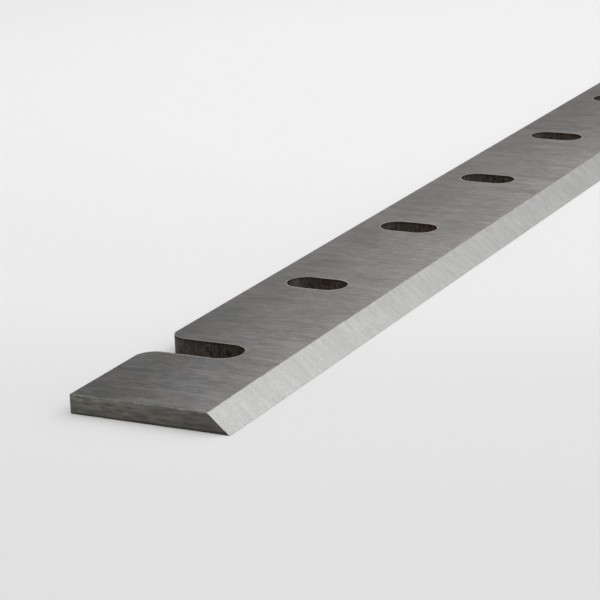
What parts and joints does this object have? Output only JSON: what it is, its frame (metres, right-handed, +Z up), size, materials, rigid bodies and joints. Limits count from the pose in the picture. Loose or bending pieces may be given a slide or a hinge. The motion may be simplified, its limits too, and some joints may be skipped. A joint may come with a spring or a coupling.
{
  "type": "planer blade",
  "caption": "Flat steel planer blade with a long ground bevel, a row of cross slots for clamping screws and a slot open at the back near its end.",
  "frame": {"origin": "under the middle of the bar's length and width, on the seating face", "axes": "+X along the bar, away from the end with the open slot; +Y from the cutting edge to the back edge; +Z up from the seating face to the face with the bevel"},
  "size_m": [0.41, 0.035, 0.004],
  "materials": {
    "steel": "surface ground flats, a coarser ground bevel, rough cut ends and dark slot walls"
  },
  "bodies": {
    "root": {"blade": "steel"}
  },
  "joints": []
}
